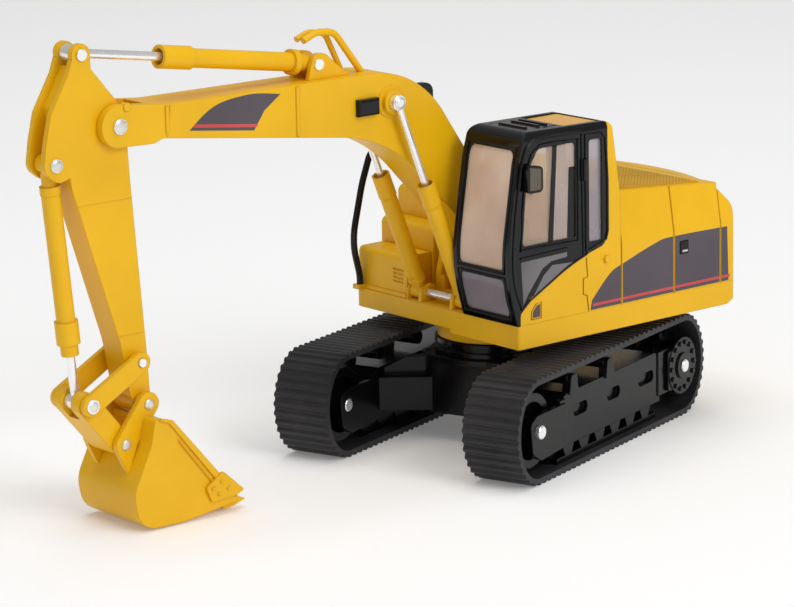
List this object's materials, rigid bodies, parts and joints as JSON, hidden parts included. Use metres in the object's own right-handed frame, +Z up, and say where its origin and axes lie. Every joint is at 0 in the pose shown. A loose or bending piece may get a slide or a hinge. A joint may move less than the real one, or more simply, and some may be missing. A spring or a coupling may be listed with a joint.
{
  "type": "toy excavator",
  "caption": "Die-cast scale model of a crawler excavator with slewing cab, jointed boom, stick and bucket with sliding cylinders, and ribbed rubber tracks.",
  "frame": {"origin": "on the slew axis at the level the tracks stand on", "axes": "+X forward along the boom, +Y to the cab side, +Z up; the tracks are turned 18 degrees to the left of +X at rest"},
  "size_m": [0.1754, 0.0844, 0.1006],
  "materials": {
    "yellow_paint": "gloss enamel",
    "grille_paint": "gloss enamel over perforated panel",
    "black_plastic": "moulded gloss black",
    "black_gloss": "gloss black",
    "track_rubber": "satin moulded rubber",
    "bright_metal": "bright plated",
    "clear_glass": "clear moulded",
    "interior_tan": "matt moulded"
  },
  "bodies": {
    "undercarriage": {"carbody": "black_plastic", "slew_ring": "black_plastic", "track_frame_left": "black_plastic", "track_frame_right": "black_plastic", "belt_left": "track_rubber", "belt_right": "track_rubber", "axle_pins_left": "bright_metal", "axle_pins_right": "bright_metal", "motor_cover_left": "black_plastic", "motor_cover_right": "black_plastic"},
    "left_idler": {"idler_left": "black_plastic"},
    "right_idler": {"idler_right": "black_plastic"},
    "left_sprocket": {"sprocket_left": "black_plastic"},
    "right_sprocket": {"sprocket_right": "black_plastic"},
    "upper": {"deck": "yellow_paint", "hood": "yellow_paint", "hood_grille": "grille_paint", "counterweight": "yellow_paint", "fuel_tank": "yellow_paint", "tool_box": "yellow_paint", "boom_bracket": "yellow_paint", "handrail": "black_gloss", "mirror_right": "black_gloss", "platform_pins": "bright_metal", "cab_frame": "black_gloss", "cab_rear": "yellow_paint", "windscreen": "clear_glass", "lower_glass": "clear_glass", "door_glass": "clear_glass", "quarter_glass": "clear_glass", "right_glass": "clear_glass", "rear_glass": "clear_glass", "roof_hatch": "clear_glass", "roof_panel": "yellow_paint", "seat": "interior_tan", "console": "interior_tan", "mirror_left": "black_gloss", "door_handle": "black_gloss"},
    "boom_arm": {"boom": "yellow_paint", "crowd_mount": "yellow_paint", "boom_lamps": "black_gloss", "boom_hoses": "yellow_paint", "boom_pins": "bright_metal"},
    "lift_barrels": {"lift_barrel_left": "yellow_paint", "lift_barrel_right": "yellow_paint"},
    "lift_rods": {"lift_rod_left": "bright_metal", "lift_rod_right": "bright_metal"},
    "stick_cylinder_barrel": {"crowd_barrel": "yellow_paint"},
    "stick_cylinder_rod": {"crowd_rod": "bright_metal"},
    "stick_arm": {"stick": "yellow_paint", "stick_pins": "bright_metal"},
    "bucket_cylinder_barrel": {"curl_barrel": "yellow_paint"},
    "bucket_cylinder_rod": {"curl_rod": "bright_metal"},
    "link_pair": {"side_links": "yellow_paint", "rod_pin": "bright_metal"},
    "tie_link": {"power_link": "yellow_paint"},
    "bucket_unit": {"bucket": "yellow_paint", "bucket_teeth": "yellow_paint", "side_cutters": "yellow_paint", "bucket_pins": "bright_metal"}
  },
  "joints": [
    {"name": "slew", "type": "hinge", "parent": "undercarriage", "child": "upper", "pos_m": [0, 0, 0.0262], "axis": [0, 0, 1], "continuous": true},
    {"name": "boom_raise", "type": "hinge", "parent": "upper", "child": "boom_arm", "pos_m": [0.003, 0, 0.046], "axis": [0, -1, 0], "range_deg": [-20, 16]},
    {"name": "stick_swing", "type": "hinge", "parent": "boom_arm", "child": "stick_arm", "pos_m": [0.1033, 0, 0.0833], "axis": [0, -1, 0], "range_deg": [-28, 14]},
    {"name": "bucket_curl", "type": "hinge", "parent": "stick_arm", "child": "bucket_unit", "pos_m": [0.099, 0, 0.0255], "axis": [0, -1, 0], "range_deg": [-15, 40]},
    {"name": "lift_barrel_swing", "type": "hinge", "parent": "upper", "child": "lift_barrels", "pos_m": [0.0146, 0, 0.0335], "axis": [0, -1, 0], "range_deg": [-22, 16]},
    {"name": "lift_rod_swing", "type": "hinge", "parent": "boom_arm", "child": "lift_rods", "pos_m": [0.0328, 0, 0.0795], "axis": [0, -1, 0], "range_deg": [-5, 5]},
    {"name": "stick_cylinder_swing", "type": "hinge", "parent": "boom_arm", "child": "stick_cylinder_barrel", "pos_m": [0.0505, 0, 0.0893], "axis": [0, -1, 0], "range_deg": [-10, 5]},
    {"name": "stick_rod_swing", "type": "hinge", "parent": "stick_arm", "child": "stick_cylinder_rod", "pos_m": [0.1107, 0, 0.0984], "axis": [0, -1, 0], "range_deg": [-14, 38]},
    {"name": "link_swing", "type": "hinge", "parent": "stick_arm", "child": "link_pair", "pos_m": [0.1003, 0, 0.0344], "axis": [0, -1, 0], "range_deg": [-14, 36]},
    {"name": "tie_swing", "type": "hinge", "parent": "link_pair", "child": "tie_link", "pos_m": [0.1129, 0, 0.0275], "axis": [0, -1, 0], "range_deg": [-24, 10]},
    {"name": "bucket_cylinder_swing", "type": "hinge", "parent": "stick_arm", "child": "bucket_cylinder_barrel", "pos_m": [0.1176, 0, 0.077], "axis": [0, -1, 0], "range_deg": [-3, 5]},
    {"name": "bucket_rod_swing", "type": "hinge", "parent": "link_pair", "child": "bucket_cylinder_rod", "pos_m": [0.1129, 0, 0.0275], "axis": [0, -1, 0], "range_deg": [-34, 14]},
    {"name": "left_sprocket_turn", "type": "hinge", "parent": "undercarriage", "child": "left_sprocket", "pos_m": [-0.03874, 0.01244, 0.0114], "axis": [-0.309, 0.9511, 0], "continuous": true},
    {"name": "right_sprocket_turn", "type": "hinge", "parent": "undercarriage", "child": "right_sprocket", "pos_m": [-0.02403, -0.03283, 0.0114], "axis": [-0.309, 0.9511, 0], "continuous": true},
    {"name": "left_idler_turn", "type": "hinge", "parent": "undercarriage", "child": "left_idler", "pos_m": [0.02346, 0.03265, 0.0114], "axis": [-0.309, 0.9511, 0], "continuous": true},
    {"name": "right_idler_turn", "type": "hinge", "parent": "undercarriage", "child": "right_idler", "pos_m": [0.03817, -0.01262, 0.0114], "axis": [-0.309, 0.9511, 0], "continuous": true}
  ],
  "couplings": [
    {"joint": "lift_barrel_swing", "follows": "boom_raise", "ratio": 0.8649},
    {"joint": "lift_rod_swing", "follows": "boom_raise", "ratio": -0.1351},
    {"joint": "stick_cylinder_swing", "follows": "stick_swing", "ratio": 0.1746},
    {"joint": "stick_rod_swing", "follows": "stick_swing", "ratio": -0.8254},
    {"joint": "link_swing", "follows": "bucket_curl", "ratio": 0.6937},
    {"joint": "tie_swing", "follows": "bucket_curl", "ratio": -0.4319},
    {"joint": "bucket_cylinder_swing", "follows": "bucket_curl", "ratio": 0.0543},
    {"joint": "bucket_rod_swing", "follows": "bucket_curl", "ratio": -0.6394},
    {"joint": "left_idler_turn", "follows": "left_sprocket_turn", "ratio": 0.9383},
    {"joint": "right_idler_turn", "follows": "right_sprocket_turn", "ratio": 0.9383}
  ]
}
